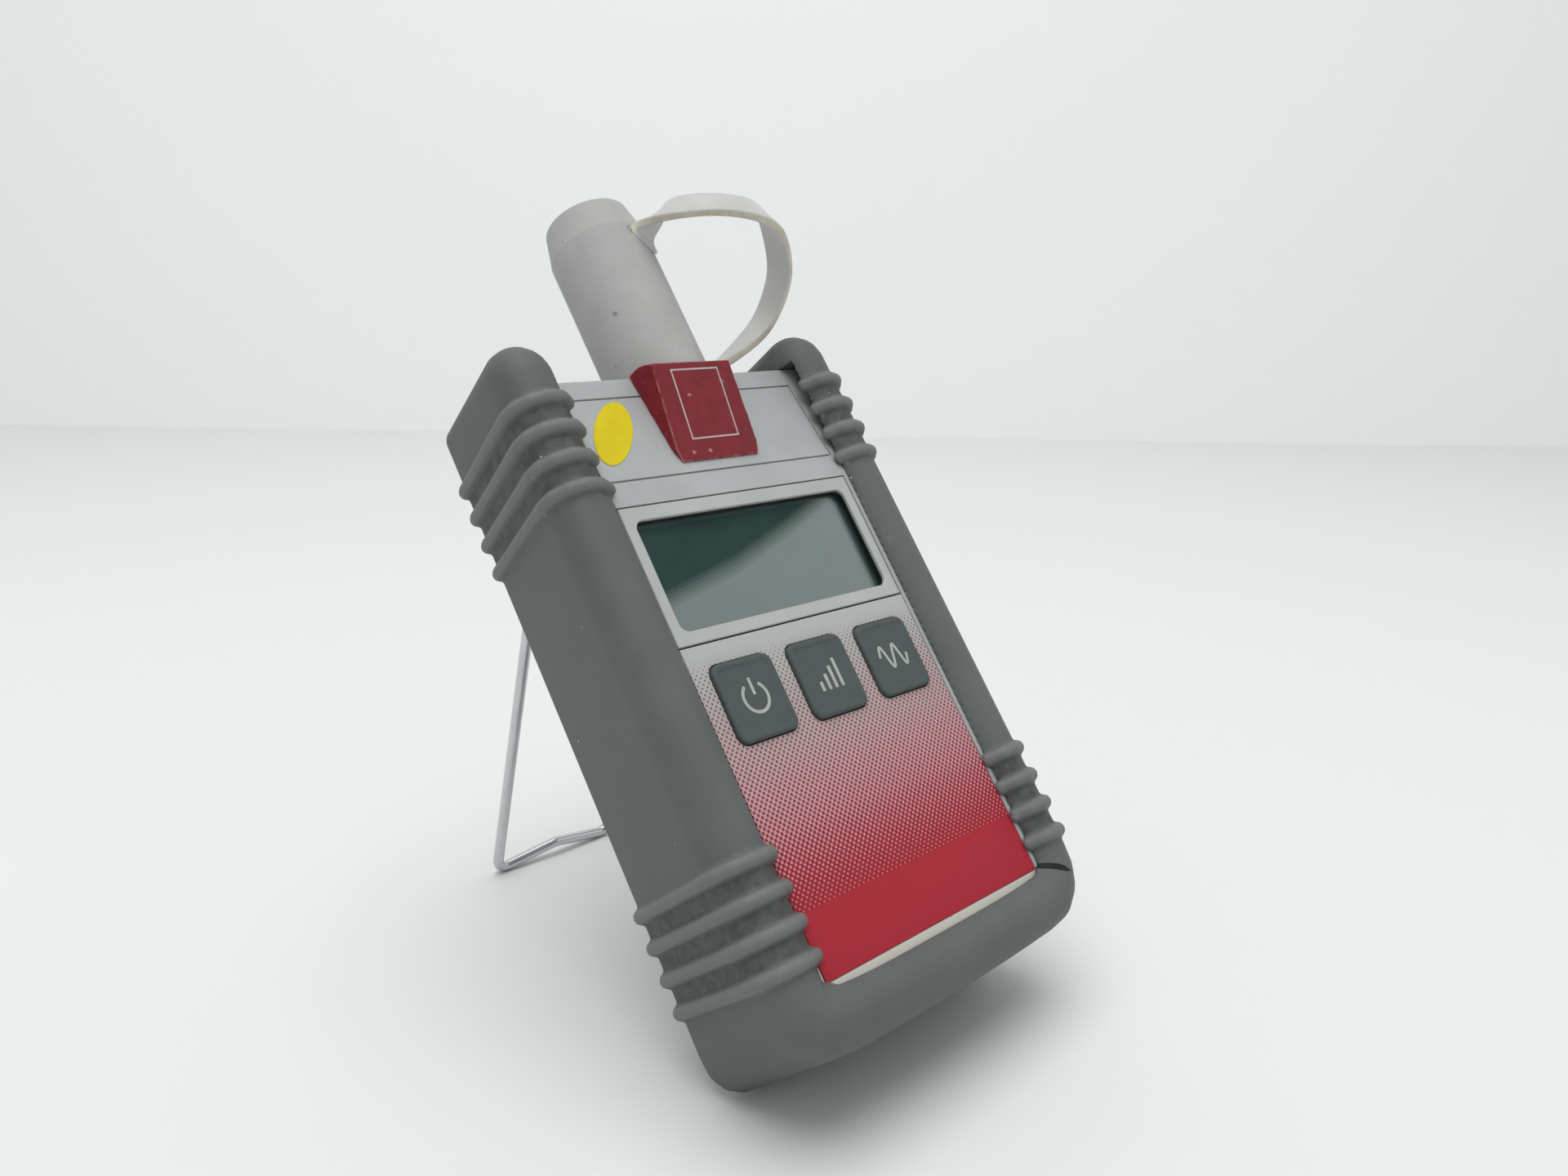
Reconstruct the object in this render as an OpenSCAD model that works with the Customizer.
// Handheld optical power meter in a ribbed rubber boot, leaning on its wire stand.
// Every piece is drawn in the meter's own frame: x across, y from the front face to the back,
// z from the lower end of the housing to its upper end. The last step leans it back on the stand.

/* [Housing] */
// Length of the moulded housing
housing_l = 143; // [120:1:180]
// Width of the housing at its front face
housing_w = 85; // [78:1:110]
// Depth of the housing from front face to back face
housing_d = 36; // [34:1:50]
// Angle by which the sides and the lower end draw in towards the back
side_draft = 3; // [1:0.5:5]
// Radius of the lower corners at the front face
corner_r = 10; // [9:0.5:14]
// Thickness of the side walls
side_wall = 2.2; // [1.6:0.1:2.3]
// Thickness of the front wall
front_wall = 3.2; // [2.8:0.1:4]
// Thickness of the back wall
back_wall = 3.4; // [3:0.1:4]
// Depth of the front shell, where it meets the rear shell
split_d = 18; // [15:1:22]
// Length of the sloping upper facet of the front face
facet_l = 32; // [26:1:40]
// Angle by which the upper facet slopes back
facet_angle = 7; // [0:0.5:10]

/* [Display and keys] */
// Width of the recess that holds the bezel and the keypad overlay
panel_w = 70; // [66:0.5:74]
// Height of the display bezel
bezel_h = 32.8; // [30:0.2:36]
// Thickness of the display bezel
bezel_t = 2; // [1.6:0.1:2.2]
// Width of the display window
window_w = 64; // [56:0.5:65]
// Height of the display window
window_h = 26; // [20:0.5:27]
// Corner radius of the display window
window_r = 2.3; // [1:0.1:4]
// Thickness of the clear window
window_t = 1.2; // [0.8:0.1:1.2]
// Thickness of the keypad overlay
overlay_t = 0.6; // [0.4:0.1:0.8]
// Width of a key
key_w = 16.7; // [14:0.1:18]
// Height of a key
key_h = 17.7; // [14:0.1:20]
// Corner radius of a key
key_r = 2.3; // [1:0.1:4]
// Distance between the centres of two keys
key_pitch = 21.8; // [21:0.1:23]
// Distance from the upper edge of the overlay to the centres of the keys
key_drop = 14; // [12:0.5:30]
// Height by which a key stands out of the front face
key_rise = 1.2; // [0.8:0.1:1.6]
// Distance that a key travels
key_travel = 0.8; // [0.4:0.1:0.8]

/* [Rubber boot] */
// Radius of the rolled front edge of the boot
bead_r = 6.8; // [5:0.1:7]
// Height of the rolled edge in front of the housing's face
bead_rise = 3.4; // [2:0.1:4.5]
// Distance that the front lip reaches over the housing's face
lip_lap = 5.6; // [4:0.1:6]
// Thickness of the boot's lip behind the housing
boot_back = 2.5; // [2:0.1:4]
// Distance that the back lip reaches over the housing's back
back_lap = 6.8; // [5:0.1:8]
// Thickness of the boot's wall beside the back of the housing
boot_wall = 3; // [2.5:0.1:4]
// Thickness of the boot's heel under the back of the housing
boot_heel = 10.2; // [6:0.5:11]
// Height by which the boot's lower end bows out in its middle
end_bow = 0.6; // [0:0.1:2]
// Radius of the boot's back edge
boot_back_r = 3.5; // [2:0.1:5]
// Height of the boot's ears above the housing
ear_rise = 9; // [5:0.5:12]
// Radius of a grip rib
rib_r = 1.8; // [0.8:0.05:2.2]
// Distance between two grip ribs
rib_pitch = 7; // [5:0.1:8]
// Number of grip ribs in a group
ribs = 4; // [2:1:5]

/* [Stand] */
// Angle by which the meter leans back on its stand
lean = 37; // [30:0.5:42]
// Distance between the centrelines of the stand's legs
bail_w = 38.4; // [37:0.2:42]
// Height of the folded stand's foot bar above the housing's lower end
fold_z = 18.3; // [17:0.1:19]
// Diameter of the stand's wire
wire_d = 2.9; // [2:0.1:3]
// Height by which the middle of the foot bar is bent up
bar_rise = 2.4; // [0:0.1:4]
// Distance from the upper end of the housing to the stand's hinge
hinge_drop = 3.2; // [3:0.2:7]

/* [Dust cap and port] */
// Diameter of the dust cap
cap_d = 24.5; // [23:0.1:26]
// Length of the dust cap
cap_l = 42.7; // [36:0.1:50]
// Length of the tapered end of the dust cap
cap_taper_l = 8.2; // [4:0.1:12]
// Diameter of the flat end of the dust cap
cap_end_d = 21.2; // [16:0.1:22]
// Wall of the dust cap
cap_wall = 1.9; // [1.2:0.1:2]
// Depth of the port's axis behind the front face
port_y = 9.3; // [9:0.1:14]
// Diameter of the connector's ferrule bore
ferrule_d = 2.51; // [1.25:0.01:2.6]
// Width of the cap's strap
strap_w = 6; // [4:0.1:7]
// Thickness of the cap's strap
strap_t = 1.8; // [1:0.1:2.4]

/* [Battery] */
// Width of the battery
battery_w = 26.5; // [26:0.1:27]
// Thickness of the battery
battery_t = 17.5; // [16:0.1:18]
// Length of the battery without its terminals
battery_l = 45.5; // [44:0.1:47]
// Distance from the housing's lower end to the battery
battery_z = 30.5; // [30:0.5:34]
// Thickness of the battery door
door_t = 2.4; // [2:0.1:2.6]

/* [Hidden] */

// Colours as the photograph shows them
silver = "#aeb1b2";
pale_silver = "#b9bcbd";
boot_grey = "#5f6361";
key_grey = "#566060";
label_red = "#a02934";
badge_red = "#7a1f28";
yellow = "#d8c827";
cap_grey = "#b4b4b1";
bright_wire = "#c4c8ca";
board_green = "#2f6b45";
dark_plastic = "#2c2f31";
lcd_green = "#74827c";

// Fineness of round faces
fine = 64;
coarse = 32;
rough = 16;
boot_sides = 24;
// Length by which a cut runs past what it cuts
over = 1;
// Gap round a loose piece, and the gap that a moving piece keeps
gap = 0.3;
// Gap of a pin in its bore, on the radius
pin_gap = 0.05;
// Gap round a piece that is fitted by hand
fit = 0.15;
slope = tan(side_draft);
facet_slope = tan(facet_angle);
facet_z = housing_l - facet_l;
inner_facet_z = facet_z + 4;
corner_x = housing_w / 2 - corner_r;

// Heights of the front panel's pieces
bezel_top = facet_z - over;
bezel_low = bezel_top - bezel_h;
overlay_low = 6.3;
overlay_h = bezel_low - overlay_low;
key_z = bezel_low - key_drop;
key_flange_t = 1.2;
key_flange = 0.8;
window_z = bezel_top - bezel_h / 2 - gap / 2;
lcd_z = window_z + gap;

// Circuit board and what it carries
board_y = 9;
board_t = 1.6;
board_low = 8.5;
board_top = housing_l - 16;
board_half_w = 36;
lcd_w = 69.8;
lcd_h = 38.1;
lcd_t = 2.8;
lcd_y = front_wall + fit;
holder_wall = 1;
reflector_t = 0.3;
strip_t = 2.4;
dome_r = 4.5;
dome_h = 0.5;
plunger_r = 3;
mat_t = 1;

// Case screws and their bosses
screw_x = 29;
screw_low_z = 14;
screw_top_z = housing_l - 22;
boss_r = 3.6;
tube_r = 4.2;
screw_r = 1.45;
screw_head_r = 2.7;
screw_head_t = 2;
screw_seat_y = housing_d - 5;
screw_tip_y = 4.6;

// Detector tube and connector adapter
diode_r = 4.6;
diode_l = 5;
tube_bore_r = diode_r + 0.1;
port_r = 7.5;
port_groove_r = 6.8;
port_low = housing_l - 23;
flange_r = 11.4;
flange_z = housing_l + 1.5;
flange_t = 1;
collar_r = 7.9;
ring_z = flange_z + flange_t + 0.1;
ring_t = strap_t + 0.1;
ring_r = cap_d / 2;
cap_z = ring_z + ring_t + gap;
cap_r = cap_d / 2;
adapter_r = cap_r - cap_wall - gap;
adapter_z = cap_z;
adapter_body_l = 12;
adapter_l = 24;
nose_r = 4.2;
bore_l = 12;
panel_t = 2.6;
detector_board_t = 1.2;
detector_board_front = 4.6;

// Battery compartment
bay_wall = 1.6;
bay_gap = 0.35;
bay_floor_y = housing_d - door_t - gap - battery_t - gap;
bay_half_w = battery_w / 2 + bay_gap;
pad_t = 1.5;
bay_low = battery_z - pad_t;
terminal_h = 3;
contact_t = 1.2;
bay_top = battery_z + battery_l + terminal_h + contact_t;
door_half_w = bay_half_w + 2.4;
door_pin_r = 0.9;
door_pin_l = 1;
door_axis_z = bay_low - 1.8;
door_axis_y = housing_d - door_t / 2;
door_top = bay_top + 2.6;
ledge = 2;

// Stand
wire_r = wire_d / 2;
leg_x = bail_w / 2;
hinge_z = housing_l - hinge_drop;
hinge_y = housing_d - 0.1;
bail_l = hinge_z - fold_z;
bend_r = 3;
elbow_r = 1.8;
middle_r = 4;
groove_gap = 0.4;
groove_y = hinge_y - wire_r - gap;
clip_l = 5;
clip_x = leg_x + wire_r + 0.5;
clip_wall = 0.9;
clip_h = 2 * (wire_r + clip_wall);
clip_base_y = housing_d - 2.5;
clip_foot_h = 5.5;
clip_foot_t = 1.4;
clip_screw_r = 0.9;
clip_screw_head_r = 1.6;
clip_screw_l = 4;
clip_boss_r = 2.4;
clip_boss_h = 2.2;

// Boot section: the rolled front edge and the back edge, measured from the corner's centre
bead_x = corner_r + 6 - bead_r;
bead_y = bead_r - bead_rise;
back_x = corner_r - housing_d * slope + boot_wall - boot_back_r;
back_y = housing_d + boot_back - boot_back_r;
heel_r = bead_x - 2;
heel_z = housing_d * slope - boot_heel + boot_back_r;
lip_x = bead_x - bead_r - 0.1;
ear_in = corner_x + lip_x;
ear_top = housing_l + ear_rise;
// The back lip lies this much below the crest of its round edge
back_sink = 0.06;
ear_low = housing_l - 4;
ear_front_r = 9;
ear_drop = 0.6;

function angle_of(v) = atan2(v[1], v[0]);
function on_circle(c, r, a) = c + r * [cos(a), sin(a)];
bead_c = [bead_x, bead_y];
back_c = [back_x, back_y];
side_turn = angle_of(back_c - bead_c) - asin((boot_back_r - bead_r) / norm(back_c - bead_c));
side_a = side_turn - 90;
lip_a = -148;

// How the meter stands: its lowest edge, the stand's opening and the middle of its box
rest_z = (heel_z - end_bow) * cos(lean) - back_y * sin(lean) - boot_back_r;
bail_open = lean + acos((hinge_z * cos(lean) - hinge_y * sin(lean) - wire_r - rest_z) / bail_l);
foot_y = hinge_y + bail_l * sin(bail_open);
foot_z = hinge_z - bail_l * cos(bail_open);
front_y = (corner_r - bead_x) * sin(lean) + bead_y * cos(lean) - bead_r;
rear_y = foot_z * sin(lean) + foot_y * cos(lean) + wire_r;
module stand_up() {
    translate([0, -(front_y + rear_y) / 2, -rest_z]) rotate([-lean, 0, 0]) children();
}

// Places a flat outline drawn in x and z at the depth y, with the thickness t towards the back
module plate(y, t) {
    translate([0, y + t, 0]) rotate([90, 0, 0]) linear_extrude(t) children();
}

// Extrudes an outline drawn in y and z across the meter, from x = -w/2 to w/2
module across(w) {
    rotate([90, 0, 90]) translate([0, 0, -w / 2]) linear_extrude(w) children();
}

// A rectangle with round corners, about its centre
module round_rect(w, h, r) {
    square([w - 2 * r, h], center = true);
    square([w, h - 2 * r], center = true);
    for (x = [-1, 1], y = [-1, 1]) translate([x * (w / 2 - r), y * (h / 2 - r)]) circle(r, $fn = fine);
}

function half_w(y, inset) = housing_w / 2 - y * slope - inset;
function low_z(y, inset) = y * slope + inset;
function corner_at(y, inset) = corner_r - y * slope - inset;

// The housing's form, drawn in by inset, between two depths and up to the height top
module tub(inset, y0, y1, top) {
    translate([0, 0, corner_r]) linear_extrude(top - corner_r)
        polygon([[-half_w(y0, inset), y0], [half_w(y0, inset), y0],
            [half_w(y1, inset), y1], [-half_w(y1, inset), y1]]);
    across(2 * corner_x) polygon([[y0, low_z(y0, inset)], [y1, low_z(y1, inset)], [y1, corner_r], [y0, corner_r]]);
    for (side = [0, 1]) translate([corner_x * (1 - 2 * side), 0, corner_r]) rotate([-90, 0, 0])
        rotate([0, 0, 90 * side]) rotate_extrude(angle = 90, $fn = fine)
            polygon([[0, y0], [corner_at(y0, inset), y0], [corner_at(y1, inset), y1], [0, y1]]);
}

// What lies in front of a sloping face at the given depth, which slopes back from the height start
module before_facet(depth, start) {
    across(housing_w + 2 * over) polygon([[-over, start], [depth, start],
        [depth + (housing_l + over - start) * facet_slope, housing_l + over], [-over, housing_l + over]]);
}

// The room inside the housing, between two depths
module room(y0, y1) {
    difference() {
        tub(side_wall, y0, y1, housing_l + over);
        before_facet(front_wall, inner_facet_z);
    }
}

module at_keys() {
    for (i = [-1, 0, 1]) translate([i * key_pitch, key_z]) children();
}

module at_screws() {
    for (x = [-1, 1], z = [screw_low_z, screw_top_z]) translate([x * screw_x, 0, z]) rotate([-90, 0, 0]) children();
}

module front_shell() {
    color(silver) difference() {
        union() {
            difference() {
                tub(0, 0, split_d, housing_l);
                before_facet(0, facet_z);
                room(front_wall, split_d + over);
            }
            at_screws() translate([0, 0, front_wall / 2])
                cylinder(r = boss_r, h = board_y - front_wall / 2, $fn = fine);
        }
        // Recess of the display bezel and of the overlay, and the openings behind them
        plate(-over, over + bezel_t) translate([0, bezel_low + bezel_h / 2]) square([panel_w, bezel_h], center = true);
        plate(-over, over + overlay_t) translate([0, overlay_low + overlay_h / 2 + over / 2])
            square([panel_w, overlay_h + over], center = true);
        plate(-over, front_wall + 2 * over) translate([0, window_z])
            square([window_w + 2, window_h + 2], center = true);
        plate(-over, front_wall + 2 * over) at_keys() round_rect(key_w + 2 * gap, key_h + 2 * gap, key_r + gap);
        // Slot for the detector tube, behind the badge
        translate([0, port_y, port_low - gap]) cylinder(r = port_r + gap, h = housing_l, $fn = fine);
        at_screws() translate([0, 0, screw_tip_y - gap])
            cylinder(r = screw_r + pin_gap, h = board_y, $fn = fine);
        seam_grooves();
    }
}

// Fine grooves round the upper label, cut into the facet
groove_w = 0.5;
groove_d = 0.5;
label_low = facet_z + 5;
label_top = housing_l - 4.6;
module seam_grooves() {
    turn = facet_angle;
    translate([0, 0, facet_z]) rotate([-turn, 0, 0]) translate([0, 0, -facet_z]) plate(-over, over + groove_d)
        difference() {
            translate([0, (label_low + label_top) / 2]) square([panel_w, label_top - label_low], center = true);
            translate([0, (label_low + label_top) / 2])
                square([panel_w - 2 * groove_w, label_top - label_low - 2 * groove_w], center = true);
        }
}

module rear_shell() {
    floor_y = housing_d - back_wall;
    color(silver) difference() {
        union() {
            difference() {
                tub(0, split_d, housing_d, housing_l);
                room(split_d - over, floor_y);
            }
            // Tubes that hold the board down and carry the case screws
            at_screws() translate([0, 0, board_y + board_t])
                cylinder(r = tube_r, h = floor_y - board_y - board_t + over, $fn = fine);
            at_clip_screws() translate([0, 0, floor_y - clip_boss_h])
                cylinder(r = clip_boss_r, h = clip_boss_h + over / 2, $fn = fine);
            // Walls of the battery compartment
            translate([-bay_half_w - bay_wall, bay_floor_y - bay_wall, bay_low - bay_wall])
                cube([2 * (bay_half_w + bay_wall), floor_y - bay_floor_y + bay_wall + over,
                    bay_top - bay_low + 2 * bay_wall]);
        }
        translate([-bay_half_w, bay_floor_y, bay_low]) cube([2 * bay_half_w, housing_d, bay_top - bay_low]);
        // Seat of the battery door, open below its ledges
        plate(housing_d - door_t - gap, door_t + gap + over) translate([0, (door_axis_z + door_top) / 2])
            square([2 * (door_half_w + gap), door_top - door_axis_z + 2 * (door_t / 2 + gap)], center = true);
        translate([-door_half_w - gap, housing_d - door_t - over, door_axis_z - door_t / 2 - gap])
            cube([2 * (door_half_w + gap), door_t + 2 * over, bay_low - door_axis_z + door_t / 2 + gap]);
        translate([0, door_axis_y, door_axis_z]) rotate([0, 90, 0])
            cylinder(r = door_pin_r + pin_gap, h = 2 * (door_half_w + door_pin_l + gap), center = true, $fn = fine);
        at_screws() {
            translate([0, 0, board_y]) cylinder(r = screw_r + 0.2, h = housing_d, $fn = fine);
            translate([0, 0, screw_seat_y]) cylinder(r = screw_head_r + gap, h = housing_d, $fn = fine);
        }
        bail_grooves();
        clip_pockets();
        at_clip_screws() translate([0, 0, clip_base_y + clip_foot_t - clip_screw_l - gap])
            cylinder(r = clip_screw_r, h = housing_d, $fn = fine);
    }
}

// Places its children at the inner face of each clip, mirrored to both sides
module at_clips() {
    for (side = [0, 1]) mirror([side, 0, 0]) translate([clip_x, 0, hinge_z]) children();
}

module at_clip_screws() {
    at_clips() translate([clip_l / 2, 0, -clip_h / 2 - clip_foot_h / 2]) rotate([-90, 0, 0]) children();
}

// Channels in the back in which the folded stand lies
module bail_grooves() {
    channel = wire_d + 2 * groove_gap;
    for (side = [-1, 1]) translate([side * leg_x - channel / 2, groove_y, fold_z - channel / 2])
        cube([channel, housing_d, housing_l - fold_z + channel]);
    translate([-leg_x, groove_y, fold_z - channel / 2]) cube([2 * leg_x, housing_d, channel + bar_rise]);
}

module clip_pockets() {
    low = hinge_z - clip_h / 2 - clip_foot_h - gap;
    for (side = [0, 1]) mirror([side, 0, 0]) translate([leg_x, clip_base_y, low])
        cube([clip_x - leg_x + clip_l + 2 * over, housing_d, housing_l + over - low]);
}

module end_panel() {
    color(pale_silver) difference() {
        intersection() {
            difference() {
                tub(side_wall + fit, front_wall + fit, housing_d - back_wall - fit, housing_l);
                before_facet(front_wall + fit, inner_facet_z);
            }
            translate([-housing_w / 2, 0, housing_l - panel_t]) cube([housing_w, housing_d, panel_t]);
        }
        translate([0, port_y, 0]) cylinder(r = port_groove_r + fit, h = housing_l + over, $fn = fine);
        translate([-port_groove_r - fit, 0, 0]) cube([2 * (port_groove_r + fit), port_y, housing_l + over]);
    }
}

module display_bezel() {
    color(pale_silver) plate(0, bezel_t) difference() {
        translate([0, bezel_low + bezel_h / 2]) square([panel_w - 2 * gap, bezel_h - 2 * gap], center = true);
        translate([0, window_z]) round_rect(window_w, window_h, window_r);
    }
}

module display_window() {
    color([0.5, 0.58, 0.56, 0.5]) plate(bezel_t, window_t) translate([0, window_z])
        square([window_w + 2 - 2 * fit, window_h + 2 - 2 * fit], center = true);
}

module lcd_panel() {
    color(lcd_green) plate(lcd_y, lcd_t) translate([0, lcd_z]) square([lcd_w, lcd_h], center = true);
}

module lcd_reflector() {
    color("silver") plate(lcd_y + lcd_t, reflector_t) translate([0, lcd_z])
        square([lcd_w - 4, lcd_h - 2 * strip_t - 4], center = true);
}

module lcd_holder() {
    color(dark_plastic) plate(lcd_y, board_y - lcd_y) translate([0, lcd_z]) difference() {
        square([lcd_w + 2 * (fit + holder_wall), lcd_h + 2 * (fit + holder_wall)], center = true);
        square([lcd_w + 2 * fit, lcd_h + 2 * fit], center = true);
    }
}

module elastomer_strips() {
    color("#3a3a3c") for (side = [-1, 1]) plate(lcd_y + lcd_t, board_y - lcd_y - lcd_t)
        translate([0, lcd_z + side * (lcd_h - strip_t) / 2]) square([lcd_w - 4, strip_t - gap], center = true);
}

module keypad_overlay() {
    color(label_red) plate(0, overlay_t) difference() {
        translate([0, overlay_low + overlay_h / 2]) square([panel_w - 2 * gap, overlay_h - 2 * fit], center = true);
        at_keys() round_rect(key_w + 2 * gap, key_h + 2 * gap, key_r + gap);
    }
}

// A rubber key: its cap, the flange that holds it behind the wall and the plunger over the switch
module key(place) {
    bottom = board_y - dome_h - gap - key_travel;
    color(key_grey) translate([place * key_pitch, 0, 0]) {
        plate(-key_rise, key_rise + bottom - over) translate([0, key_z]) round_rect(key_w, key_h, key_r);
        plate(front_wall + gap, key_flange_t) translate([0, key_z])
            round_rect(key_w + 2 * key_flange, key_h + 2 * key_flange, key_r + key_flange);
        plate(bottom - 2 * over, 2 * over) translate([0, key_z]) circle(plunger_r, $fn = fine);
    }
}

module key_power() {
    key(-1);
}

module key_units() {
    key(0);
}

module key_wavelength() {
    key(1);
}

module keypad_mat() {
    color("#7b8483") plate(board_y - mat_t, mat_t) difference() {
        translate([0, key_z]) round_rect(3 * key_pitch, key_h + 2 * key_flange, key_r + key_flange);
        at_keys() circle(dome_r + key_flange, $fn = fine);
    }
}

module key_domes() {
    color("#c9c3a8") for (i = [-1, 0, 1]) translate([i * key_pitch, board_y, key_z]) rotate([90, 0, 0])
        cylinder(r1 = dome_r, r2 = plunger_r, h = dome_h, $fn = fine);
}

module main_board() {
    notch_w = 2 * (port_r + 2);
    color(board_green) difference() {
        plate(board_y, board_t) difference() {
            translate([-board_half_w, board_low]) square([2 * board_half_w, board_top - board_low]);
            translate([-notch_w / 2, port_low - 3]) square([notch_w, housing_l]);
        }
        at_screws() cylinder(r = screw_r + 0.2, h = housing_d, $fn = fine);
    }
}

chip_t = 1.6;
module board_chips() {
    color(dark_plastic) {
        plate(board_y + board_t, chip_t) translate([0, 97]) square([14, 14], center = true);
        plate(board_y + board_t, chip_t) translate([-24, 64]) square([10, 7.5], center = true);
        plate(board_y + board_t, chip_t) translate([25, 92]) square([9, 6], center = true);
        plate(board_y + board_t, chip_t) translate([25, 50]) square([6.5, 6], center = true);
    }
}

module detector_tube() {
    color("#c0c3c4") translate([0, port_y, 0]) difference() {
        union() {
            translate([0, 0, port_low]) cylinder(r = port_r, h = housing_l - panel_t - fit - port_low, $fn = fine);
            translate([0, 0, port_low]) cylinder(r = port_groove_r, h = flange_z - port_low, $fn = fine);
            translate([0, 0, housing_l + fit]) cylinder(r = port_r, h = flange_z - housing_l, $fn = fine);
            translate([0, 0, flange_z]) cylinder(r = flange_r, h = flange_t, $fn = fine);
            translate([0, 0, flange_z]) cylinder(r = collar_r, h = adapter_z - flange_z, $fn = fine);
        }
        translate([0, 0, port_low - over]) cylinder(r = tube_bore_r, h = diode_l + 2 + over, $fn = fine);
        translate([0, 0, port_low]) cylinder(r = tube_bore_r / 2, h = housing_l, $fn = fine);
    }
}

module connector_adapter() {
    color("#b9bbb8") translate([0, port_y, adapter_z]) difference() {
        union() {
            cylinder(r = adapter_r, h = adapter_body_l, $fn = fine);
            cylinder(r = nose_r, h = adapter_l, $fn = fine);
        }
        translate([0, 0, adapter_l - bore_l]) cylinder(d = ferrule_d, h = adapter_l, $fn = fine);
        translate([0, 0, -over]) cylinder(r = tube_bore_r / 2, h = adapter_l - bore_l, $fn = fine);
    }
}

module photodiode() {
    color("#cdb26a") translate([0, port_y, port_low]) {
        cylinder(r = diode_r, h = diode_l - over, $fn = fine);
        cylinder(r = diode_r - 0.5, h = diode_l, $fn = fine);
    }
}

module detector_board() {
    color(board_green) translate([-port_r, port_y - detector_board_front, port_low - detector_board_t])
        cube([2 * port_r, detector_board_front + port_r, detector_board_t]);
}

lead_w = 0.64;
lead_pitch = 2.54;
leads = 5;
module detector_leads() {
    drop = 6;
    color("gold") for (i = [0 : leads - 1]) translate([(i - (leads - 1) / 2) * lead_pitch - lead_w / 2,
            board_y + board_t, port_low - detector_board_t - drop])
        cube([lead_w, lead_w, drop]);
}

// The red wedge over the detector tube, its front face tilted forward
badge_low = facet_z + 8;
badge_top = housing_l + 0.9;
badge_half_w = 13;
badge_face_half_w = 11.7;
badge_foot_half_w = 11.5;
badge_shoulder = badge_low + 5.2;
badge_front = 3.5;
badge_lip = 0.5;
function facet_y(z) = max(0, (z - facet_z) * facet_slope);
module badge() {
    color(badge_red) difference() {
        intersection() {
            across(2 * badge_half_w) polygon([[facet_y(badge_low), badge_low],
                [facet_y(badge_low) - badge_lip, badge_low], [-badge_front, badge_top - 1.7],
                [0.4, badge_top], [facet_y(housing_l), badge_top - 0.3], [facet_y(housing_l), housing_l]]);
            plate(-housing_d / 2, housing_d) polygon([[-badge_foot_half_w, badge_low], [badge_foot_half_w, badge_low],
                [badge_half_w, badge_shoulder], [badge_half_w, badge_top + over],
                [-badge_half_w, badge_top + over], [-badge_half_w, badge_shoulder]]);
            linear_extrude(2 * housing_l) polygon([[-badge_face_half_w, -badge_front],
                [badge_face_half_w, -badge_front], [badge_half_w, facet_y(housing_l)],
                [badge_half_w, housing_d], [-badge_half_w, housing_d], [-badge_half_w, facet_y(housing_l)]]);
        }
        translate([0, port_y, 0]) cylinder(r = port_r + gap, h = 2 * housing_l, $fn = fine);
    }
}

// The yellow oval sticker on the facet
sticker_long_r = 9.2;
sticker_short_r = 4.3;
sticker_t = 0.15;
sticker_glue_t = 0.02;
sticker_turn = 41;
sticker_at = [-25.5, 18.3];
module inspection_sticker() {
    points = 48;
    color(yellow) translate([0, 0, facet_z]) rotate([-facet_angle, 0, 0]) plate(-sticker_t - sticker_glue_t, sticker_t)
        translate(sticker_at) rotate(-sticker_turn)
            polygon([for (i = [0 : points - 1]) let (a = i * 360 / points)
                [sticker_short_r * cos(a), sticker_long_r * sin(a)]]);
}

// Where the strap leaves the cap: the direction round the cap's axis, and the height
strap_root_a = 73;
strap_root_z = cap_z + cap_l - cap_taper_l - 1.6;
strap_root_l = 1.5;
module dust_cap() {
    end_z = cap_l - cap_taper_l;
    color(cap_grey) translate([0, port_y, cap_z]) difference() {
        union() {
            rotate_extrude($fn = fine) polygon([[0, 0], [cap_r, 0], [cap_r, end_z], [cap_end_d / 2, cap_l], [0, cap_l]]);
            rotate([0, 0, -strap_root_a]) translate([cap_r - cap_wall / 2, -strap_w / 2,
                    strap_root_z - cap_z - strap_t / 2])
                cube([cap_wall / 2 + strap_root_l, strap_w, strap_t]);
        }
        rotate_extrude($fn = fine) polygon([[0, -over], [cap_r - cap_wall, -over], [cap_r - cap_wall, end_z],
            [cap_end_d / 2 - cap_wall, cap_l - cap_wall], [0, cap_l - cap_wall]]);
    }
}

// The strap: a band through hand-chosen places, each with the way its width points.
// Places are shares of how far it reaches outward, forward and up from its ring.
strap_out = 37;
strap_forward = 31;
strap_rise = strap_root_z - ring_z - ring_t / 2;
strap_root = (cap_r + strap_root_l + 2 * gap) * [cos(strap_root_a), -sin(strap_root_a)];
strap_path_shares = [[0.18, -0.70, 0.93], [0.37, -0.95, 0.80], [0.65, -0.98, 0.72], [0.89, -0.77, 0.66],
    [0.99, -0.52, 0.48], [0.91, -0.23, 0.27], [0.65, -0.04, 0.10]];
strap_width_shares = [[-0.96, -0.29, 0], [-0.63, 0.05, -0.77], [-0.41, -0.12, -0.91], [-0.06, -0.27, -0.96],
    [0.28, -0.64, -0.71], [0.42, -0.60, -0.68], [0.04, -0.57, -0.82], [-0.07, -0.88, -0.46],
    [0, -0.98, -0.20], [0, -1, 0], [0, -1, 0]];
strap_points = concat([[strap_root[0], strap_root[1], strap_rise]],
    [for (s = strap_path_shares) [s[0] * strap_out, s[1] * strap_forward, s[2] * strap_rise]],
    [[ring_r + 4 * over, 0, gap], [ring_r + over, 0, 0], [ring_r - over, 0, 0]]);
strap_steps = 4;
function pick(list, i) = list[max(0, min(len(list) - 1, i))];
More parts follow.
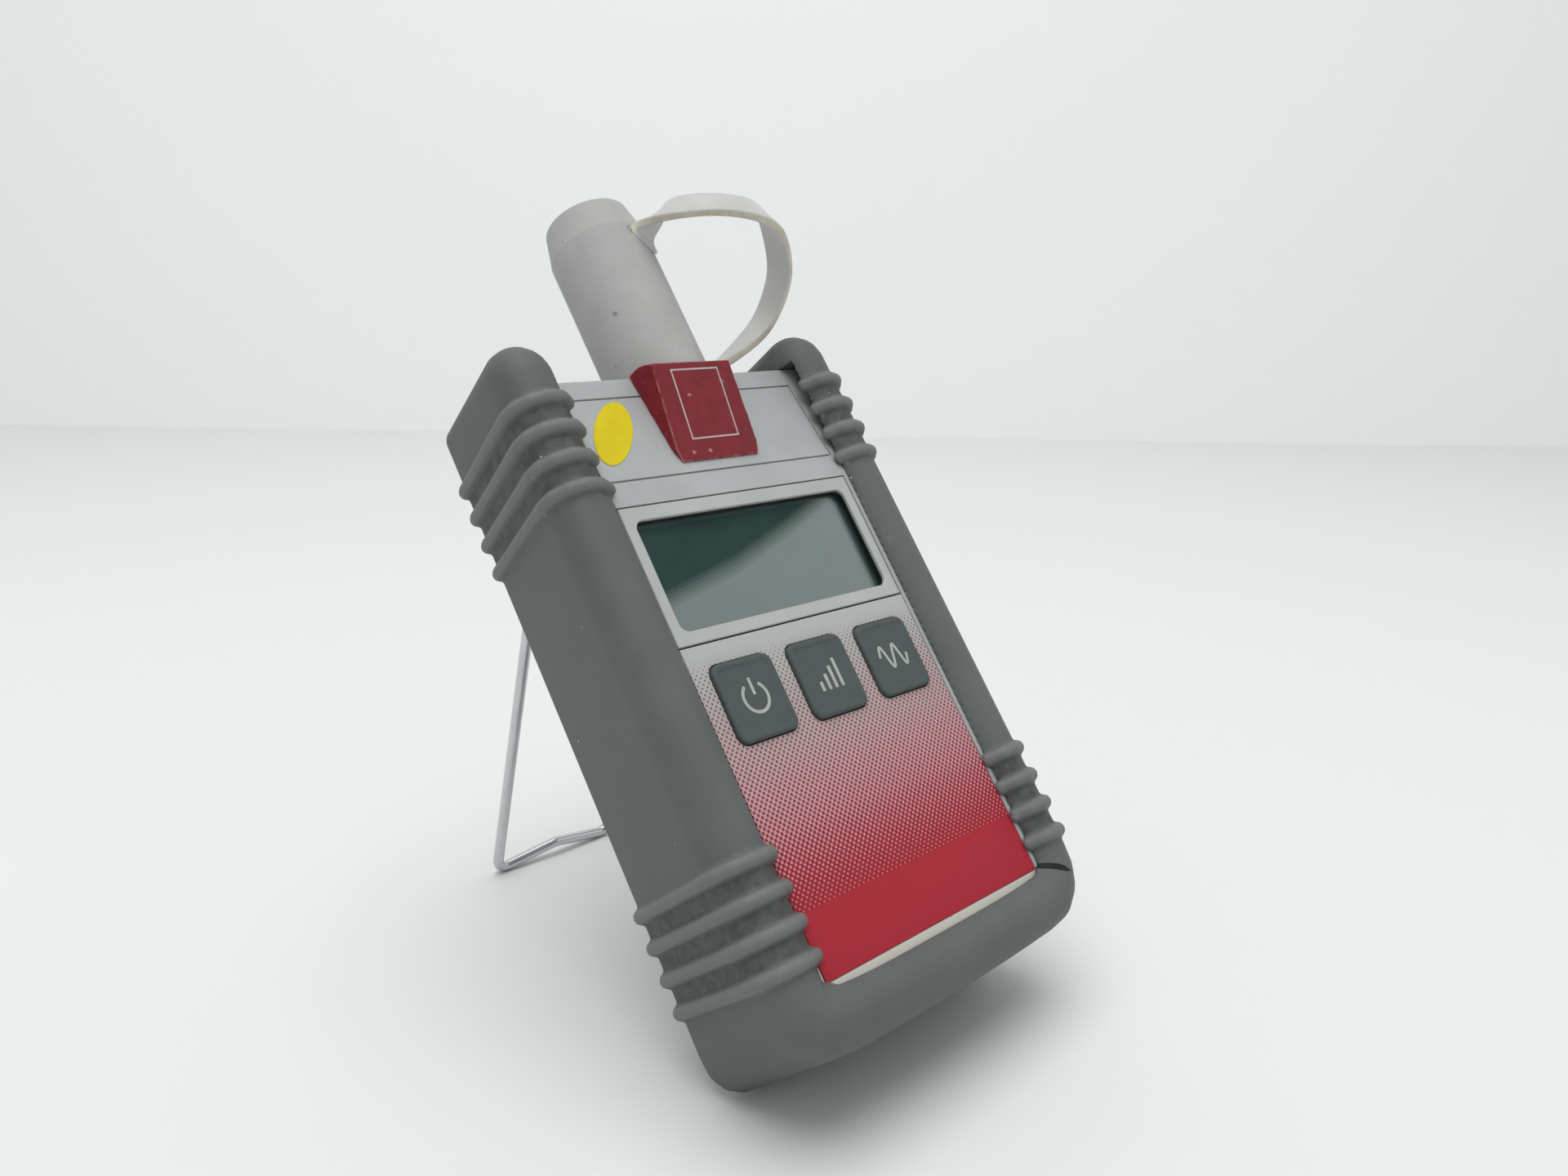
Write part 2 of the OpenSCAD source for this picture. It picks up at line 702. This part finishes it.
function curve(list, i, t) = let (a = pick(list, i - 1), b = pick(list, i), c = pick(list, i + 1), d = pick(list, i + 2))
    0.5 * (2 * b + t * (c - a) + t * t * (2 * a - 5 * b + 4 * c - d) + t * t * t * (3 * b - a - 3 * c + d));
function unit(v) = v / norm(v);
function along(list) = concat([for (i = [0 : len(list) - 2], k = [0 : strap_steps - 1]) curve(list, i, k / strap_steps)],
    [list[len(list) - 1]]);
module cap_strap() {
    line = along(strap_points);
    widths = along(strap_width_shares);
    last = len(line) - 1;
    rings = [for (i = [0 : last]) let (
            t = unit(line[min(last, i + 1)] - line[max(0, i - 1)]),
            w = unit(widths[i] - (widths[i] * t) * t),
            n = cross(t, w))
        [line[i] + w * strap_w / 2 + n * strap_t / 2, line[i] - w * strap_w / 2 + n * strap_t / 2,
            line[i] - w * strap_w / 2 - n * strap_t / 2, line[i] + w * strap_w / 2 - n * strap_t / 2]];
    faces = concat([[0, 1, 2], [0, 2, 3]],
        [for (i = [0 : last - 1], k = [0 : 3]) let (a = 4 * i + k, b = 4 * i + (k + 1) % 4) each
            [[a, a + 4, b], [b, a + 4, b + 4]]],
        [[4 * last, 4 * last + 2, 4 * last + 1], [4 * last, 4 * last + 3, 4 * last + 2]]);
    color(cap_grey) translate([0, port_y, ring_z + ring_t / 2]) {
        polyhedron([for (r = rings) each r], faces);
        difference() {
            cylinder(r = ring_r, h = ring_t, center = true, $fn = fine);
            cylinder(r = collar_r + fit, h = 2 * ring_t, center = true, $fn = fine);
        }
    }
}

// How far the lower end bows out at x
function bow(x) = end_bow * (1 - pow(min(1, abs(x) / corner_x), 2));
bow_steps = 4;

// Places along the boot's lower end, from one side round to the other: the middle of the rolled
// front edge and the middle of the heel's edge, both as [x, z]
end_steps = 4;
lip_sag = 0.4;
corner_share = 0.74;
function end_station(a, x) = let (s = -sin(a), c = cos(a)) [
    [x + bead_x * pow(c, corner_share), corner_r - (bead_x + lip_sag) * pow(s, corner_share) - bow(x)],
    [x + back_x * pow(c, corner_share), heel_z + heel_r - heel_r * pow(s, corner_share) - bow(x)], s];
half_end = concat([[[corner_x + bead_x, corner_r], [corner_x + back_x, corner_r + over], 0]],
    [for (i = [0 : end_steps]) end_station(-90 * i / end_steps, corner_x)],
    [for (i = [bow_steps - 1 : -1 : 0]) end_station(-90, corner_x * i / bow_steps)]);
end_line = concat(half_end, [for (i = [len(half_end) - 2 : -1 : 0]) let (st = half_end[i])
    [[-st[0][0], st[0][1]], [-st[1][0], st[1][1]], st[2]]]);

module end_edges(st, less) {
    translate([st[0][0], bead_y, st[0][1]]) scale([1, 1, 1 + 0.12 * st[2]])
        sphere(bead_r - less, $fn = boot_sides);
    translate([st[1][0], back_y, st[1][1]]) sphere(boot_back_r - less, $fn = boot_sides);
}

// The lower end: a rolled edge along its front, drawn back to the heel's edge, and solid behind
module boot_end() {
    last = len(end_line) - 1;
    intersection() {
        union() {
            for (i = [0 : last - 1]) hull() {
                end_edges(end_line[i], 0);
                end_edges(end_line[i + 1], 0);
            }
            intersection() {
                hull() for (st = end_line) end_edges(st, 0.4);
                translate([-housing_w, 0, -housing_w]) cube(2 * housing_w);
            }
        }
        translate([-housing_w, -housing_d, corner_r - 2 * housing_w]) cube(2 * housing_w);
    }
}

// The right side with its ear, from its round front to its tighter back
module boot_side() {
    turn_r = ear_front_r - bead_r;
    top_z = ear_top - ear_front_r;
    back_z = ear_top - boot_back_r - ear_drop;
    translate([corner_x, 0, 0]) hull() {
        for (a = [0, 30, 60, 90]) translate([bead_x, bead_y + turn_r * (1 - cos(a)), top_z + turn_r * sin(a)])
            sphere(bead_r, $fn = boot_sides);
        translate([bead_x, bead_y, corner_r]) cylinder(r = bead_r, h = top_z - corner_r, $fn = boot_sides);
        translate([back_x, back_y, corner_r]) cylinder(r = boot_back_r, h = back_z - corner_r, $fn = boot_sides);
        translate([back_x, back_y, back_z]) sphere(boot_back_r, $fn = boot_sides);
    }
    translate([half_w(housing_d, back_lap), housing_d, corner_r])
        cube([corner_x + back_x - half_w(housing_d, back_lap), boot_back - back_sink, ear_low - corner_r]);
}

module boot_form() {
    boot_end();
    for (side = [0, 1]) mirror([side, 0, 0]) boot_side();
}

// A grip rib on the right side: over the rolled edge, down the side and round the back edge
rib_steps = 5;
rib_sides = 10;
rib_end_a = 28;
rib_path = concat([for (i = [0 : rib_steps]) on_circle(bead_c, bead_r, lip_a + (side_a - lip_a) * i / rib_steps)],
    [for (a = [side_a, (side_a + rib_end_a) / 2, rib_end_a]) on_circle(back_c, boot_back_r, a)]);
module grip_rib() {
    for (i = [0 : len(rib_path) - 2]) hull() for (p = [rib_path[i], rib_path[i + 1]])
        translate([corner_x + p[0], p[1], 0]) sphere(rib_r, $fn = rib_sides);
}

rib_low_z = 12;
rib_top_z = housing_l - 28.5;
module rubber_boot() {
    color(boot_grey) difference() {
        union() {
            boot_form();
            for (side = [0, 1], start = [rib_low_z, rib_top_z], i = [0 : ribs - 1])
                mirror([side, 0, 0]) translate([0, 0, start + i * rib_pitch]) grip_rib();
        }
        tub(-fit, -fit, housing_d + fit, housing_l + fit);
        // Front window and back window
        plate(-2 * bead_r, 2 * bead_r) front_window();
        translate([-half_w(housing_d, back_lap), split_d, low_z(housing_d, back_lap)])
            cube([2 * half_w(housing_d, back_lap), housing_d, housing_l]);
    }
}

// The window in front: round lower corners, and a lower edge that sags with the boot's end
module front_window() {
    low = [for (i = [-2 * bow_steps : 2 * bow_steps]) let (x = i * (ear_in - lip_x) / bow_steps / 2)
        [x, lip_lap - bow(x) / 2]];
    polygon(concat(low, [[ear_in - lip_x, 2 * lip_lap], [-ear_in + lip_x, 2 * lip_lap]]));
    translate([-ear_in, lip_lap + lip_x]) square([2 * ear_in, corner_r + over - lip_lap - lip_x]);
    for (side = [-1, 1]) translate([side * (ear_in - lip_x), lip_lap + lip_x]) circle(lip_x, $fn = coarse);
}

// Places round a bend, and a round wire swept through places, both in the plane of x and z
function bend(centre, r, from, to, steps) =
    [for (i = [0 : steps]) let (a = from + (to - from) * i / steps) centre + r * [cos(a), sin(a)]];

module wire(line) {
    last = len(line) - 1;
    rings = [for (i = [0 : last]) let (
            t = unit(line[min(last, i + 1)] - line[max(0, i - 1)]))
        [for (k = [0 : rough - 1]) let (a = 360 * k / rough, c = wire_r * cos(a))
            [line[i][0] + c * t[1], wire_r * sin(a), line[i][1] - c * t[0]]]];
    sides = [for (i = [0 : last - 1], k = [0 : rough - 1])
        let (a = rough * i + k, b = rough * i + (k + 1) % rough) each [[a, a + rough, b], [b, a + rough, b + rough]]];
    ends = [for (k = [1 : rough - 2]) each
        [[0, k, k + 1], [rough * last, rough * last + k + 1, rough * last + k]]];
    polyhedron([for (r = rings) each r], concat(sides, ends));
}

// The stand: two legs, a foot bar bent up in its middle, and ends turned outwards into the clips
module bail_stand() {
    rise_a = atan(bar_rise / (leg_x - bend_r));
    corner = [leg_x - bend_r, bend_r - bail_l];
    bar_end_z = corner[1] - bend_r * cos(rise_a);
    bar_run = corner[0] - (bend_r + middle_r) * sin(rise_a);
    middle_z = bar_end_z + bar_run * tan(rise_a) - middle_r * cos(rise_a);
    half = concat([[clip_x + clip_l + over, 0]],
        bend([leg_x + elbow_r, -elbow_r], elbow_r, 90, 180, 5),
        bend(corner, bend_r, 0, -90 - rise_a, 7),
        bend([0, middle_z], middle_r, 90 - rise_a, 90, 2));
    color(bright_wire) translate([0, hinge_y, hinge_z]) rotate([bail_open, 0, 0])
        wire(concat(half, [for (i = [len(half) - 2 : -1 : 0]) [-half[i][0], half[i][1]]]));
}

module bail_clips() {
    color(dark_plastic) at_clips() difference() {
        union() {
            translate([0, clip_base_y, -clip_h / 2]) cube([clip_l, hinge_y - clip_base_y, clip_h]);
            translate([0, hinge_y, 0]) rotate([0, 90, 0]) cylinder(r = wire_r + clip_wall, h = clip_l, $fn = fine);
            translate([0, clip_base_y, -clip_h / 2 - clip_foot_h]) cube([clip_l, clip_foot_t, clip_foot_h + over]);
        }
        translate([-over, hinge_y, 0]) rotate([0, 90, 0])
            cylinder(r = wire_r + pin_gap, h = clip_l + 2 * over, $fn = fine);
        translate([clip_l / 2, 0, -clip_h / 2 - clip_foot_h / 2]) rotate([-90, 0, 0])
            cylinder(r = clip_screw_r, h = 2 * housing_d, $fn = fine);
    }
}

module clip_screws() {
    color(bright_wire) at_clip_screws() translate([0, 0, clip_base_y + clip_foot_t]) {
        cylinder(r1 = clip_screw_head_r, r2 = clip_screw_head_r * 0.7, h = over, $fn = fine);
        translate([0, 0, -clip_screw_l]) cylinder(r = clip_screw_r, h = clip_screw_l + over / 2, $fn = fine);
    }
}

module case_screws() {
    color("#8d9192") at_screws() {
        translate([0, 0, screw_seat_y]) difference() {
            cylinder(r = screw_head_r, h = screw_head_t, $fn = fine);
            for (a = [0, 90]) rotate([0, 0, a]) translate([0, 0, screw_head_t])
                cube([screw_head_r * 1.2, screw_head_r * 0.25, screw_head_t], center = true);
        }
        translate([0, 0, screw_tip_y]) cylinder(r = screw_r, h = screw_seat_y - screw_tip_y, $fn = fine);
    }
}

terminal_x = 6.35;
module battery() {
    low_y = bay_floor_y + gap;
    color("#33383b") translate([0, low_y + battery_t / 2, battery_z]) {
        linear_extrude(battery_l) round_rect(battery_w, battery_t, 2);
        for (side = [-1, 1]) translate([side * terminal_x, 0, battery_l - over])
            cylinder(r = side > 0 ? 2.9 : 4, h = terminal_h + over - gap / 2, $fn = side > 0 ? fine : 6);
    }
}

module battery_contacts() {
    low_y = bay_floor_y + gap;
    color("#b0a070") translate([-bay_half_w + fit, low_y, bay_top - contact_t])
        cube([2 * (bay_half_w - fit), battery_t - 1, contact_t - gap / 2]);
}

module battery_pad() {
    color("#3c3c3c") translate([-battery_w / 2 + over, bay_floor_y + over, bay_low])
        cube([battery_w - 2 * over, battery_t - over, pad_t]);
}

module battery_door() {
    notch_r = 6;
    color(silver) difference() {
        union() {
            plate(housing_d - door_t, door_t) translate([0, (door_axis_z + door_top) / 2])
                square([2 * door_half_w, door_top - door_axis_z], center = true);
            translate([0, door_axis_y, door_axis_z]) rotate([0, 90, 0])
                cylinder(d = door_t, h = 2 * door_half_w, center = true, $fn = fine);
            translate([0, door_axis_y, door_axis_z]) rotate([0, 90, 0])
                cylinder(r = door_pin_r, h = 2 * (door_half_w + door_pin_l), center = true, $fn = fine);
        }
        translate([0, housing_d + 4, door_top - 6]) rotate([0, 90, 0])
            cylinder(r = 5, h = 2 * notch_r, center = true, $fn = fine);
    }
}

stand_up() front_shell();
stand_up() rear_shell();
stand_up() end_panel();
stand_up() display_bezel();
stand_up() display_window();
stand_up() lcd_panel();
stand_up() lcd_reflector();
stand_up() lcd_holder();
stand_up() elastomer_strips();
stand_up() keypad_overlay();
stand_up() key_power();
stand_up() key_units();
stand_up() key_wavelength();
stand_up() keypad_mat();
stand_up() key_domes();
stand_up() main_board();
stand_up() board_chips();
stand_up() detector_tube();
stand_up() connector_adapter();
stand_up() photodiode();
stand_up() detector_board();
stand_up() detector_leads();
stand_up() badge();
stand_up() inspection_sticker();
stand_up() dust_cap();
stand_up() cap_strap();
stand_up() rubber_boot();
stand_up() bail_stand();
stand_up() bail_clips();
stand_up() clip_screws();
stand_up() case_screws();
stand_up() battery();
stand_up() battery_contacts();
stand_up() battery_pad();
stand_up() battery_door();
